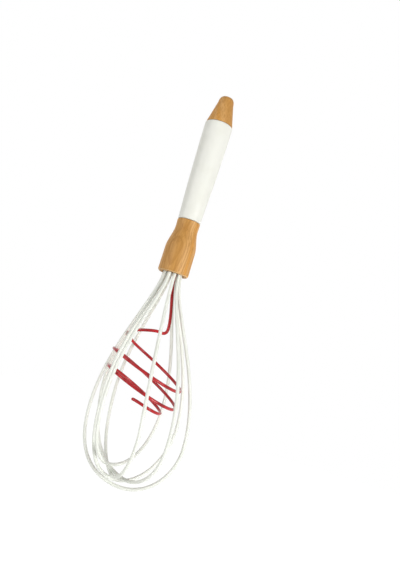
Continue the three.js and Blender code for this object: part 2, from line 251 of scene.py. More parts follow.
class Recipe:
    """The node tree of one finish, or of the surroundings."""

    def __init__(self, owner: bpy.types.Material | bpy.types.World) -> None:
        """Start the owner's tree with nothing in it."""
        owner.use_nodes = True
        self.owner = owner
        self.tree = owner.node_tree
        self.tree.nodes.clear()

    def node(
        self,
        kind: str,
        settings: Mapping[str, Any] | None = None,
        inputs: Mapping[Any, Any] | None = None,
    ) -> bpy.types.Node:
        """Add a node, its settings first and then what goes into its sockets.

        Args:
            kind: The node's type.
            settings: Values of the node's own properties.
            inputs: A number, colour, vector or flow for each socket, by name or place.

        Returns:
            The new node.
        """
        made = self.tree.nodes.new(kind)
        for key, value in (settings or {}).items():
            setattr(made, key, value)
        for key, value in (inputs or {}).items():
            socket = made.inputs[key]
            if isinstance(value, Flow):
                self.tree.links.new(value.socket, socket)
            else:
                socket.default_value = value
        return made

    def flow(self, kind: str, *given: Mapping[Any, Any], output: int | str = 0) -> Flow:
        """Add a node with its settings and inputs, and go on from one of its outputs."""
        return Flow(self, self.node(kind, *given).outputs[output])

    def position(self, turn: float = 0.0, shift: Place = (0.0, 0.0, 0.0)) -> Flow:
        """Give the place on the piece in millimetres.

        Args:
            turn: Degrees that the pattern is turned by, about the handle's axis.
            shift: How far the pattern is moved, in millimetres.

        Returns:
            The place as a vector.
        """
        return self.flow("ShaderNodeMapping", {}, {
            "Vector": self.flow("ShaderNodeTexCoord", output="Object"),
            "Location": shift,
            "Rotation": (0.0, 0.0, math.radians(turn)),
            "Scale": (1 / MM, 1 / MM, 1 / MM),
        })

    def noise(self, place: Flow, grain: Grain) -> Flow:
        """Give cloudy noise.

        Args:
            place: Where the noise is read, in millimetres.
            grain: Its size across and along, and its finer layers.

        Returns:
            A value about 0.5.
        """
        terms = {0: place, 1: (grain.across, grain.across, grain.along)}
        return self.flow("ShaderNodeTexNoise", {}, {
            "Vector": self.flow("ShaderNodeVectorMath", {"operation": "MULTIPLY"}, terms),
            "Scale": 1.0,
            "Detail": grain.layers,
            "Roughness": grain.rough,
        })

    def facing_along(self) -> Flow:
        """Give how far the surface faces along the handle's axis, from 0 to 1."""
        return self.flow("ShaderNodeNewGeometry", output="Normal").parts()[2].size()

    def bump(self, height: Flow, relief: Relief) -> Flow:
        """Give a normal that a height pattern roughens.

        Args:
            height: The pattern, from 0 to 1.
            relief: Its depth and strength.

        Returns:
            The normal.
        """
        inputs = {"Height": height, "Distance": relief.depth * MM, "Strength": relief.strength}
        return self.flow("ShaderNodeBump", {}, inputs)

    def seen(self) -> Flow:
        """Tell rays that look at a surface, by way of a shine or glass too, from light.

        Returns:
            1 for a ray that looks and 0 for light.
        """
        rays = self.node("ShaderNodeLightPath").outputs
        looks = Flow(self, rays["Is Camera Ray"])
        for kind in ("Is Glossy Ray", "Is Transmission Ray"):
            looks = looks.math("MAXIMUM", looks, Flow(self, rays[kind]))
        return looks

    def finish(self, inputs: Mapping[str, Any]) -> bpy.types.Material:
        """Close the tree with its shader.

        Args:
            inputs: What goes into the Principled shader's sockets.

        Returns:
            The material.
        """
        surface = self.flow("ShaderNodeBsdfPrincipled", {}, inputs)
        self.node("ShaderNodeOutputMaterial", {}, {"Surface": surface})
        return self.owner


@dataclass(frozen=True)
class Finish(ABC):
    """What a piece is made of and how its surface is worked."""

    name: str
    slot: Slot

    @abstractmethod
    def material(self) -> bpy.types.Material:
        """Give the material with its nodes."""

    def recipe(self) -> Recipe:
        """Start the finish's own material."""
        return Recipe(bpy.data.materials.new(self.name))


@dataclass(frozen=True)
class OiledWood(Finish):
    """Turned hardwood with growth rings, fibres and small pores under a satin oil.

    Lengths are in millimetres. The rings run round a pith that lies outside the piece.
    """

    turn: float = 0.0
    shift: Place = (0.0, 0.0, 0.0)
    pith: Point = (9.0, 26.5)
    girth: float = 11.5
    crown: float = -121.0
    lean: float = 0.08
    drift: Grain = Grain(0.05, 0.018)
    waver: float = 2.4
    ring_gap: float = 1.1
    ring_dark: Span = (0.35, 0.9)
    ring_shade: float = 0.5
    ring_height: float = 0.25
    band: float = 4.6
    mottle: Grain = Grain(0.5, 0.16, 3.0)
    mottle_share: float = 0.2
    fibre: Grain = Grain(0.9, 0.035, 4.0, 0.6)
    fibre_dark: Span = (0.4, 0.7)
    fibre_shade: float = 0.6
    fibre_rough: float = 0.16
    fibre_height: float = 0.6
    pores: Grain = Grain(3.4, 0.32, 1.0)
    pore_dark: Span = (0.62, 0.74)
    pore_shade: float = 0.45
    pore_rough: float = 0.1
    pore_depth: float = 0.5
    # Where the rounded rim is painted paler as a painted highlight, and how much.
    rim_start: Span = (0.5, 0.65)
    rim_end: Span = (0.75, 0.9)
    rim_highlight: float = 0.6
    # Where end faces are darkened, as end-grain tone with painted shade, and how much.
    end_face: Span = (0.75, 0.95)
    end_shade: float = 0.6
    end_rough: float = 0.12
    rough: float = 0.42
    shine: float = 0.35
    relief: Relief = Relief(0.12, 0.35)
    pale: Colour = tint(218, 169, 104)
    honey: Colour = tint(194, 142, 71)
    amber: Colour = tint(214, 152, 69)
    late: Colour = tint(169, 115, 49)
    pore: Colour = tint(126, 78, 32)
    # The colour of the painted highlight on the rim.
    painted_highlight: Colour = tint(230, 206, 163)
    # The end-grain tone of the end faces, darkened further as painted shade.
    shaded_end_grain: Colour = tint(164, 122, 70)

    def rings(self, recipe: Recipe, place: Flow) -> tuple[Flow, Flow]:
        """Cut the growth rings with the turned surface.

        Args:
            recipe: The finish's nodes.
            place: The place on the piece.

        Returns:
            How far round towards the pith the surface lies, and the dark late wood of each ring.
        """
        across, away, along = place.parts()
        drift = recipe.noise(place, self.drift) - NOISE_MEAN
        girth = (across ** 2 + away ** 2).root()
        reach = ((across - self.pith[0]) ** 2 + (away - self.pith[1]) ** 2).root()
        turned = girth - reach + math.hypot(*self.pith) + drift * self.waver
        depth = turned - girth + self.girth - (along - self.crown) * self.lean
        share = (depth / self.ring_gap).fraction()
        start, full = self.ring_dark
        return turned, share.rising(start, full) * (1 - share.rising(full, 1.0))

    def material(self) -> bpy.types.Material:
        """Give the wood, its rings cut by the turned surface, its rim paler as a painted highlight
        and its end faces darker as end-grain tone with painted shade.

        Returns:
            The material.
        """
        recipe = self.recipe()
        place = recipe.position(self.turn, self.shift)
        turned, late = self.rings(recipe, place)
        mottle = recipe.noise(place, self.mottle)
        fibre = recipe.noise(place, self.fibre)
        pore = recipe.noise(place, self.pores).rising(*self.pore_dark)
        facing = recipe.facing_along()
        # The rounded rim, between the side and the end, is painted paler: a painted highlight.
        rim = facing.rising(*self.rim_start) * (1 - facing.rising(*self.rim_end))
        # End faces are darkened: end-grain tone together with painted shade.
        end = facing.rising(*self.end_face)
        deep = turned.rising(0.5 * self.band, self.band).choose(self.honey, self.amber)
        banded = turned.wave(self.band) * (1 - self.mottle_share) + mottle * self.mottle_share
        colour = banded.choose(self.pale, deep)
        for mark, laid in (
            (late * self.ring_shade, self.late),
            (fibre.rising(*self.fibre_dark) * self.fibre_shade, self.late),
            (pore * self.pore_shade, self.pore),
            # The painted highlight on the rounded rim.
            (rim * self.rim_highlight, self.painted_highlight),
            # End-grain tone with painted shade on the end faces.
            (end * self.end_shade, self.shaded_end_grain),
        ):
            colour = mark.choose(colour, laid)
        rough = self.rough + fibre * self.fibre_rough + pore * self.pore_rough
        height = fibre * self.fibre_height + late * self.ring_height - pore * self.pore_depth
        return recipe.finish({
            "Base Color": colour,
            "Roughness": rough + end * self.end_rough,
            "Specular IOR Level": self.shine,
            "Normal": recipe.bump(height, self.relief),
        })


@dataclass(frozen=True)
class SatinSleeve(Finish):
    """Smooth white sleeve with a faint ripple and soft handling marks."""

    clean: Colour = tint(234, 234, 226)
    dull_white: Colour = tint(227, 227, 216)
    cloud: Grain = Grain(0.07, 0.07, 3.0)
    cloud_mark: Span = (0.4, 0.75)
    cloud_shade: float = 0.6
    cloud_rough: float = 0.16
    # The rounded ends, which face along the axis, are darkened towards the duller white.
    end_ring: Span = (0.2, 0.7)
    end_shade: float = 0.4
    ripple: Grain = Grain(0.8, 0.28)
    relief: Relief = Relief(0.05, 0.25)
    rough: float = 0.34
    shine: float = 0.4

    def material(self) -> bpy.types.Material:
        """Give the white, duller in soft handling marks and towards its rounded ends.

        Returns:
            The material.
        """
        recipe = self.recipe()
        place = recipe.position()
        cloud = recipe.noise(place, self.cloud)
        # Darker towards the rounded ends, where the surface faces along the axis.
        ring = recipe.facing_along().rising(*self.end_ring)
        marks = cloud.rising(*self.cloud_mark) * self.cloud_shade + ring * self.end_shade
        return recipe.finish({
            "Base Color": marks.choose(self.clean, self.dull_white),
            "Roughness": self.rough + cloud * self.cloud_rough,
            "Specular IOR Level": self.shine,
            "Normal": recipe.bump(recipe.noise(place, self.ripple), self.relief),
        })


@dataclass(frozen=True)
class SiliconeSkin(Finish):
    """Moulded silicone over a wire: soft sheen, faint bloom and fine dust."""

    body: Colour = tint(237, 239, 231)
    bloom: Colour = tint(228, 231, 221)
    cloud: Grain = Grain(0.09, 0.09, 3.0)
    cloud_mark: Span = (0.38, 0.72)
    cloud_shade: float = 0.7
    cloud_rough: float = 0.16
    dust: Grain = Grain(2.6, 2.6)
    dust_mark: Span = (0.5, 0.8)
    dust_shade: float = 0.2
    relief: Relief = Relief(0.01, 0.2)
    rough: float = 0.5
    shine: float = 0.5

    def material(self) -> bpy.types.Material:
        """Give the silicone, with a bloom that comes and goes along the wire.

        Returns:
            The material.
        """
        recipe = self.recipe()
        place = recipe.position()
        cloud = recipe.noise(place, self.cloud)
        dust = recipe.noise(place, self.dust)
        marks = cloud.rising(*self.cloud_mark) * self.cloud_shade
        marks = marks + dust.rising(*self.dust_mark) * self.dust_shade
        return recipe.finish({
            "Base Color": marks.choose(self.body, self.bloom),
            "Roughness": self.rough + (cloud - NOISE_MEAN) * self.cloud_rough,
            "Specular IOR Level": self.shine,
            "Normal": recipe.bump(dust, self.relief),
        })


@dataclass(frozen=True)
class WorkedMetal(Finish):
    """Drawn or turned metal with fine marks."""

    bright: Colour = tint(200, 202, 205)
    dull: Colour = tint(150, 152, 156)
    patch: Grain = Grain(0.3, 0.3)
    patch_mark: Span = (0.35, 0.75)
    score: Grain = Grain(6.0, 0.4)
    score_rough: float = 0.18
    relief: Relief = Relief(0.02, 0.3)
    rough: float = 0.28

    def material(self) -> bpy.types.Material:
        """Give the metal, duller in patches and scored along its length.

        Returns:
            The material.
        """
        recipe = self.recipe()
        place = recipe.position()
        score = recipe.noise(place, self.score)
        patch = recipe.noise(place, self.patch).rising(*self.patch_mark)
        return recipe.finish({
            "Base Color": patch.choose(self.bright, self.dull),
            "Metallic": 1.0,
            "Roughness": self.rough + score * self.score_rough,
            "Normal": recipe.bump(score, self.relief),
        })


@dataclass(frozen=True)
class CastPolymer(Finish):
    """Cast or moulded polymer of one colour with a grainy face."""

    body: Colour = tint(58, 51, 44)
    speck: Colour = tint(86, 76, 64)
    specks: Grain = Grain(1.4, 1.4, 3.0)
    speck_mark: Span = (0.5, 0.8)
    cloud: Grain = Grain(0.25, 0.25)
    cloud_rough: float = 0.2
    relief: Relief = Relief(0.05, 0.3)
    rough: float = 0.55

    def material(self) -> bpy.types.Material:
        """Give the polymer, specked and a little uneven in gloss.

        Returns:
            The material.
        """
        recipe = self.recipe()
        place = recipe.position()
        specks = recipe.noise(place, self.specks)
        cloud = recipe.noise(place, self.cloud) - NOISE_MEAN
        return recipe.finish({
            "Base Color": specks.rising(*self.speck_mark).choose(self.body, self.speck),
            "Roughness": self.rough + cloud * self.cloud_rough,
            "Normal": recipe.bump(specks, self.relief),
        })


class Palette:
    """The whisk's finishes, each made once."""

    def __init__(self) -> None:
        """Set out every finish, with no material made yet."""
        self.collar_wood = OiledWood("collar_wood", Slot.WOOD)
        # The knob's painted rim highlight is kept faint.
        self.knob_wood = OiledWood(
            "knob_wood", Slot.WOOD, turn=250.0, shift=(3.0, -4.0, -100.0), rim_highlight=0.1,
        )
        self.white = SatinSleeve("satin_white_sleeve", Slot.WHITE_SLEEVE)
        self.ivory = SiliconeSkin("ivory_silicone", Slot.IVORY_SILICONE)
        self.red = SiliconeSkin(
            "red_silicone", Slot.RED_SILICONE,
            body=tint(186, 32, 36), bloom=tint(162, 24, 30), rough=0.15, shine=0.3,
        )
        self.steel = WorkedMetal("drawn_spring_steel", Slot.STEEL)
        self.brass = WorkedMetal(
            "turned_brass", Slot.BRASS,
            bright=tint(214, 178, 96), dull=tint(176, 138, 66), rough=0.3,
        )
        self.nylon = CastPolymer("dark_nylon", Slot.DARK_NYLON)
        self.resin = CastPolymer(
            "cast_resin", Slot.RESIN,
            body=tint(216, 201, 160), speck=tint(196, 176, 128), rough=0.4,
        )
        self.made: dict[str, bpy.types.Material] = {}

    def material(self, finish: Finish) -> bpy.types.Material:
        """Give a finish's material, made on its first use.

        Args:
            finish: One of the finishes set out above.

        Returns:
            The material.
        """
        if finish.name not in self.made:
            self.made[finish.name] = finish.material()
        return self.made[finish.name]


@dataclass
class Bench:
    """Hand work on one mesh: picking, shaping and dressing."""

    palette: Palette
    merge_gap: float = 0.002 * MM
    smooth_angle: float = 40.0

    def clear(self) -> None:
        """Leave edit mode and let go of everything."""
        if bpy.context.object and bpy.context.object.mode != "OBJECT":
            bpy.ops.object.mode_set(mode="OBJECT")
        bpy.ops.object.select_all(action="DESELECT")

    def name(self, name: str) -> bpy.types.Object:
        """Name the object in hand and its mesh.

        Args:
            name: The piece's name.

        Returns:
            The object.
        """
        piece = bpy.context.object
        piece.name = name
        piece.data.name = name
        return piece

    def pick(self, test: Callable[[Vector], bool]) -> None:
        """Select the points in edit mode that pass a test.

        Args:
            test: Tells from a point's place whether it is picked.
        """
        bpy.ops.mesh.select_mode(type="VERT")
        bpy.ops.mesh.select_all(action="DESELECT")
        shape = bmesh.from_edit_mesh(bpy.context.object.data)
        for point in shape.verts:
            point.select_set(test(point.co))
        shape.select_flush_mode()
        bmesh.update_edit_mesh(bpy.context.object.data)

    def heal(self) -> None:
        """Merge doubled points and turn the faces outwards."""
        bpy.ops.mesh.select_all(action="SELECT")
        bpy.ops.mesh.remove_doubles(threshold=self.merge_gap)
        bpy.ops.mesh.normals_make_consistent(inside=False)

    def apply(self, kind: str, settings: Mapping[str, Any]) -> None:
        """Add a modifier to the piece in hand and apply it.

        Args:
            kind: The modifier's type.
            settings: Values of its properties.
        """
        piece = bpy.context.object
        made = piece.modifiers.new(kind.lower(), kind)
        for key, value in settings.items():
            setattr(made, key, value)
        bpy.ops.object.modifier_apply(modifier=made.name)

    def ease(self, width: float, angle: float, steps: int) -> None:
        """Bevel the sharp edges of the piece in hand.

        Args:
            width: Width of the eased edges.
            angle: The bend in degrees from which an edge is sharp.
            steps: Facets across the bevel.
        """
        self.apply("BEVEL", {
            "limit_method": "ANGLE", "angle_limit": math.radians(angle),
            "width": width, "segments": steps,
        })

    def turn(self, name: str, profile: Profile, steps: int) -> bpy.types.Object:
        """Turn a profile round the handle's axis.

        Args:
            name: The piece's name.
            profile: Radius and height of each point, outside upwards.
            steps: Facets round the axis.

        Returns:
            The turned piece.
        """
        self.clear()
        # The profile is drawn out of a small triangle that is merged to a point.
        radius, height = profile[0]
        bpy.ops.mesh.primitive_circle_add(vertices=3, radius=MM, location=(radius, 0.0, height))
        piece = self.name(name)
        bpy.ops.object.transform_apply(location=True, rotation=True, scale=True)
        bpy.ops.object.mode_set(mode="EDIT")
        bpy.ops.mesh.select_all(action="SELECT")
        bpy.ops.mesh.merge(type="CENTER")
        for (radius, height), (next_radius, next_height) in zip(profile, profile[1:]):
            move = (next_radius - radius, 0.0, next_height - height)
            bpy.ops.mesh.extrude_region_move(TRANSFORM_OT_translate={"value": move})
        bpy.ops.mesh.select_all(action="SELECT")
        bpy.ops.mesh.spin(
            steps=steps, angle=math.tau, center=(0.0, 0.0, 0.0), axis=(0.0, 0.0, 1.0))
        self.heal()
        bpy.ops.object.mode_set(mode="OBJECT")
        return piece

    def dress(self, piece: bpy.types.Object, finish: Finish, *nodes: str) -> None:
        """Smooth a piece, give it its finish and put it on the frame.

        Args:
            piece: The finished mesh object.
            finish: What it is made of.
            nodes: The CAD nodes that it stands for.
        """
        self.clear()
        piece.select_set(True)
        bpy.context.view_layer.objects.active = piece
        bpy.ops.object.shade_smooth_by_angle(angle=math.radians(self.smooth_angle))
        piece.data.materials.clear()
        piece.data.materials.append(self.palette.material(finish))
        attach(piece, BODY)
        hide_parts(*nodes)
        LOG.info("%s: %d faces for %s", piece.name, len(piece.data.polygons), ", ".join(nodes))

    def finish_node(self, node: str, finish: Finish) -> None:
        """Give a finish to a CAD node that stays.

        Args:
            node: The node's name.
            finish: What it is made of.
        """
        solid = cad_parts[node]
        for slot in solid.material_slots:
            slot.material = self.palette.material(finish)
        LOG.info("%s keeps its solid, in %s", node, finish.name)


@dataclass
class Handle:
    """The turned collar, the white sleeve and the wooden end knob."""

    bench: Bench
    fit_gap: float = 0.35 * MM
    rim_round: float = 1.6 * MM
    shoulder_radius: float = 11.5 * MM
    shoulder_height: float = 18.5 * MM
    waist_radius: float = 8.55 * MM
    waist_drop: float = 5.4 * MM
    neck_radius: float = 8.72 * MM
    collar_length: float = 41.4 * MM
    tenon_radius: float = 5.8 * MM
    tenon_length: float = 8 * MM
    rod_bore: float = 2.85 * MM
    cavity_radius: float = 7.6 * MM
    cavity_roof: float = 29.1 * MM
    sleeve_low_radius: float = 8.65 * MM
    sleeve_swell: float = 0.32 * MM
    sleeve_round: float = 0.6 * MM
    knob_length: float = 23 * MM
    knob_end_radius: float = 6.1 * MM
    knob_end_round: float = 4.9 * MM
    butt_radius: float = 3.5 * MM
    insert_hole_radius: float = 4.2 * MM
    insert_hole_depth: float = 16.35 * MM
    edge: float = 0.3 * MM
    edge_angle: float = 35.0
    edge_steps: int = 3
    facets: int = 96
    arc_points: int = 14

    def turned(self, name: str, profile: Profile) -> bpy.types.Object:
        """Turn a profile and ease its edges.

        Args:
            name: The piece's name.
            profile: Radius and height of each point, outside upwards.

        Returns:
            The turned piece.
        """
        piece = self.bench.turn(name, profile, self.facets)
        self.bench.ease(self.edge, self.edge_angle, self.edge_steps)
        return piece

    def arc(
        self, centre: Point, across: float, along: float, start: float, end: float,
    ) -> Profile:
        """Give part of an ellipse as profile points.

        Args:
            centre: Radius and height of its centre.
            across: Its reach from the centre in radius.
            along: Its reach in height.
            start: The first angle in degrees.
            end: The last angle in degrees.

        Returns:
            The points in order.
        """
        points = []
        for index in range(self.arc_points + 1):
            angle = math.radians(between(start, end, index / self.arc_points))
            radius = centre[0] + across * math.cos(angle)
            points.append((radius, centre[1] + along * math.sin(angle)))
        return points

    def run(self, start: Point, end: Point, bend: Callable[[float], float]) -> Profile:
        """Give profile points between two, without the first.

        Args:
            start: Radius and height that the run leaves.
            end: Radius and height that it reaches.
            bend: Share of the change in radius at each share of the height.

        Returns:
            The points in order.
        """
        shares = [index / self.arc_points for index in range(1, self.arc_points + 1)]
        return [
            (between(start[0], end[0], bend(share)), between(start[1], end[1], share))
            for share in shares
        ]

    def collar(self) -> None:
        """Turn the collar: rounded rim, full shoulder, slim waist, hidden tenon and cavity."""
        low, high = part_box("wooden_collar")
        mouth, rim = low.z, high.x
        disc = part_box("wire_holder")[1]
        seat = disc.x + self.fit_gap
        ledge = disc.z + self.fit_gap
        neck = mouth + self.collar_length
        shoulder = (self.shoulder_radius, mouth + self.shoulder_height)
        waist = (self.waist_radius, neck - self.waist_drop)
        ease = self.rim_round
        profile = [(seat, ledge), (seat, mouth)]
        profile += self.arc((rim - ease, mouth + ease), ease, ease, -90, 0)
        profile.append(shoulder)
        profile += self.run(shoulder, waist, eased)
        profile += self.run(waist, (self.neck_radius, neck), eased)
        profile += [
            (self.tenon_radius, neck),
            (self.tenon_radius, neck + self.tenon_length),
            (self.rod_bore, neck + self.tenon_length),
            (self.rod_bore, mouth + self.cavity_roof),
            (self.cavity_radius, mouth + self.cavity_roof),
            (self.cavity_radius, ledge),
            (seat, ledge),
        ]
        piece = self.turned("turned_collar", profile)
        self.bench.dress(piece, self.bench.palette.collar_wood, "wooden_collar")

    def sleeve(self) -> None:
        """Turn the sleeve: a taper that swells a little, with rounded ends, over the two tenons."""
        low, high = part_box("grip_sleeve")
        base, top, wide = low.z, high.z, high.x
        bore = self.tenon_radius + self.fit_gap
        ease = self.sleeve_round
        start, end = (self.sleeve_low_radius, base + ease), (wide, top - ease)
        # A parabola from end to end that reaches the swell halfway.
        swell = 4 * self.sleeve_swell / (wide - self.sleeve_low_radius)
        profile = [(bore, top), (bore, base)]
        profile += self.arc((self.sleeve_low_radius - ease, base + ease), ease, ease, -90, 0)
        profile += self.run(start, end, lambda share: share + swell * share * (1 - share))
        profile += self.arc((wide - ease, top - ease), ease, ease, 0, 90)[1:]
        profile.append((bore, top))
        piece = self.turned("white_sleeve", profile)
        self.bench.dress(piece, self.bench.palette.white, "grip_sleeve")

    def knob(self) -> None:
        """Turn the knob: a taper that closes in a round end with a small flat butt."""
        low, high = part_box("end_knob")
        tenon_end, butt, wide = low.z, high.z, high.x
        base = butt - self.knob_length
        hole_top = tenon_end + self.insert_hole_depth
        profile = [
            (0.0, hole_top),
            (self.insert_hole_radius, hole_top),
            (self.insert_hole_radius, tenon_end),
            (self.tenon_radius, tenon_end),
            (self.tenon_radius, base),
            (wide, base),
        ]
        profile += self.arc(
            (self.butt_radius, butt - self.knob_end_round),
            self.knob_end_radius - self.butt_radius, self.knob_end_round, 0, 90,
        )
        profile.append((0.0, butt))
        piece = self.turned("turned_knob", profile)
        self.bench.dress(piece, self.bench.palette.knob_wood, "end_knob")

    def build(self) -> None:
        """Make the three outer pieces."""
        self.collar()
        self.sleeve()
        self.knob()


@dataclass
class Knot:
    """A point that a bent wire passes, with the handles of its curve before and after it."""

    place: Vector
    before: Vector
    after: Vector


def straight_end(leave: Vector, held: float, reach: float) -> list[Knot]:
    """Give the knots of a wire's held end, straight above where it leaves the mouth.

    Args:
        leave: Where it leaves the mouth.
        held: Height above the mouth to which it is held.
        reach: Length of the curve's handle below the mouth.

    Returns:
        The knots at the top and at the mouth.
    """
    top = leave - DOWN * held
    # The handles of a straight run lie at its thirds.
    third = DOWN * held / 3
    return [Knot(top, top, top + third), Knot(leave, leave - third, leave + DOWN * reach)]


@dataclass
class BentWire:
    """A round silicone skin on a bent wire, hollow for the wire inside it."""

    bench: Bench
    name: str
    radius: float
    wall: float
    sides: int = 16
    steps: int = 24
    tip_rings: int = 5
    tip_slack: float = 1.03

    def sweep(self, knots: Sequence[Knot], rise: Vector) -> bpy.types.Object:
        """Draw a curve through the knots, thicken it and make it a mesh.

        Args:
            knots: The points of the bent wire in order.
            rise: The collar mouth's place, from which the knots are measured.

        Returns:
            The open tube.
        """
        self.bench.clear()
        bpy.ops.curve.primitive_bezier_curve_add(location=(0.0, 0.0, 0.0))
        wire = self.bench.name(self.name)
        wire.data.dimensions = "3D"
        wire.data.resolution_u = self.steps
        wire.data.bevel_depth = self.radius
        # A bevel has four sides and two more for each step of its resolution.
        wire.data.bevel_resolution = (self.sides - 4) // 2
        spline = wire.data.splines[0]
        spline.bezier_points.add(len(knots) - len(spline.bezier_points))
        for point, knot in zip(spline.bezier_points, knots):
            point.handle_left_type = "FREE"
            point.handle_right_type = "FREE"
            point.co = rise + knot.place
            point.handle_left = rise + knot.before
            point.handle_right = rise + knot.after
        bpy.ops.object.convert(target="MESH")
        tube = self.bench.name(self.name)
        bpy.ops.object.mode_set(mode="EDIT")
        self.bench.heal()
        bpy.ops.object.mode_set(mode="OBJECT")
        return tube

    def close_tip(self, end: Vector, along: Vector) -> None:
        """Round off the tube's free end.

        Args:
            end: Centre of the open end.
            along: The wire's direction there, out of the tube.
        """
        bpy.ops.object.mode_set(mode="EDIT")
        reach = self.tip_slack * self.radius
        self.bench.pick(lambda point: (point - end).length < reach)
        risen, width = 0.0, 1.0
        for ring in range(1, self.tip_rings):
            angle = 0.5 * math.pi * ring / self.tip_rings
            step = along * self.radius * (math.sin(angle) - risen)
            bpy.ops.mesh.extrude_region_move(TRANSFORM_OT_translate={"value": step})
            risen = math.sin(angle)
            share = math.cos(angle) / width
            width = math.cos(angle)
            bpy.ops.transform.resize(
                value=(share, share, share), center_override=end + along * self.radius * risen)
        step = along * self.radius * (1 - risen)
        bpy.ops.mesh.extrude_region_move(TRANSFORM_OT_translate={"value": step})
        bpy.ops.mesh.merge(type="CENTER")
        self.bench.heal()
        bpy.ops.object.mode_set(mode="OBJECT")

    def hollow(self) -> None:
        """Give the skin its wall, inwards."""
        self.bench.apply("SOLIDIFY", {
            "thickness": self.wall, "offset": -1.0, "use_even_offset": True,
        })


@dataclass(frozen=True)
class Leg:
    """One leg of a loop at its widest: radius and drop as shares of the depth, swing and slant."""

    bulge: float
    drop: float
    swing: float
    slant: float


@dataclass(frozen=True)
class Loop:
    """One loop: its place in the nest, the tilt of its bottom and its two legs."""

    nest: int
    tilt: float
    near: Leg
    far: Leg


@dataclass
class Balloon:
    """The five ivory loops that cross at the bottom."""

    bench: Bench
    depth: float = 154.2 * MM
    turn: float = -5.0
    wire_radius: float = 1.25 * MM
    wall: float = 0.4 * MM
    leg_gap: float = 1.36 * MM
    nest_pitch: float = 3.0 * MM
    exit_fullness: float = 0.2
    upper_fullness: float = 0.42
    lower_fullness: float = 0.55
    bottom_fullness: float = 0.65
    loops: tuple[Loop, ...] = (
        Loop(0, 11.8, Leg(0.222, 0.687, -24.6, -0.2), Leg(0.288, 0.765, -1.5, -0.7)),
        Loop(1, 15.6, Leg(0.207, 0.604, 18.3, 1.3), Leg(0.305, 0.711, 4.9, -0.6)),
        Loop(4, 1.8, Leg(0.253, 0.634, -5.6, 1.9), Leg(0.283, 0.645, -9.7, 0.1)),
        Loop(2, -8.9, Leg(0.234, 0.706, 3.5, 6.5), Leg(0.280, 0.622, 8.9, -2.6)),
        Loop(3, -16.5, Leg(0.313, 0.782, -10.6, -5.4), Leg(0.220, 0.636, -2.1, -10.2)),
    )

    def ring_radius(self) -> float:
        """Give the radius of the ring on which the legs leave the collar."""
        spacing = 2 * self.wire_radius + self.leg_gap
        return spacing / (2 * math.sin(math.pi / (2 * len(self.loops))))

    def azimuth(self, leg: int) -> float:
        """Give the azimuth at which a leg leaves the collar."""
        return math.radians(self.turn) + math.pi * leg / len(self.loops)

    def leg_knots(
        self, place: int, leg: Leg, pole: Vector, outward: Vector, held: float,
    ) -> list[Knot]:
        """Give a leg's knots from its held end down to the pole.

        Args:
            place: The leg's place round the mouth.
            leg: Its sizes.
            pole: Where it crosses the axis.
            outward: The direction from the pole into this leg.
            held: Height above the mouth to which it is held straight.

        Returns:
            The knots at the held end, the mouth and the widest point, and the one at the pole.
        """
        bulge, drop = leg.bulge * self.depth, leg.drop * self.depth
        leave = spoke(self.ring_radius(), self.azimuth(place), 0.0)
        azimuth, slant = self.azimuth(place) + math.radians(leg.swing), math.radians(leg.slant)
        widest = spoke(bulge, azimuth, -drop)
        heading = spoke(math.sin(slant), azimuth + math.pi / 2, -math.cos(slant))
        below = -pole.z - drop
        return [
            *straight_end(leave, held, self.exit_fullness * drop),
            Knot(widest, widest - heading * self.upper_fullness * drop,
                 widest + heading * self.lower_fullness * below),
            Knot(pole, pole + outward * self.bottom_fullness * bulge, pole),
        ]

    def knots(self, index: int, held: float) -> list[Knot]:
        """Give a whole loop's knots, from its near end to its far end.

        Args:
            index: The loop's place in order round the mouth.
            held: Height above the mouth to which its ends are held.

        Returns:
            The seven knots.
        """
        loop = self.loops[index]
        pole = Vector((0.0, 0.0, -self.depth + self.nest_pitch * loop.nest))
        plane = self.azimuth(index) + math.radians((loop.near.swing + loop.far.swing) / 2)
        tilt = math.radians(loop.tilt)
        outward = spoke(math.cos(tilt), plane, -math.sin(tilt))
        near = self.leg_knots(index + len(self.loops), loop.near, pole, -outward, held)
        far = self.leg_knots(index, loop.far, pole, outward, held)
        middle = Knot(pole, near[-1].before, far[-1].before)
        return near[:-1] + [middle] + [Knot(k.place, k.after, k.before) for k in reversed(far[:-1])]

    def build(self) -> None:
        """Make the five silicone skins."""
        mouth, held = wire_hold()
        for index in range(len(self.loops)):
            number = index + 1
            wire = BentWire(self.bench, f"ivory_loop_{number}", self.wire_radius, self.wall)
            skin = wire.sweep(self.knots(index, held), mouth)
            wire.hollow()
            self.bench.dress(skin, self.bench.palette.ivory, f"loop_{number}_jacket")


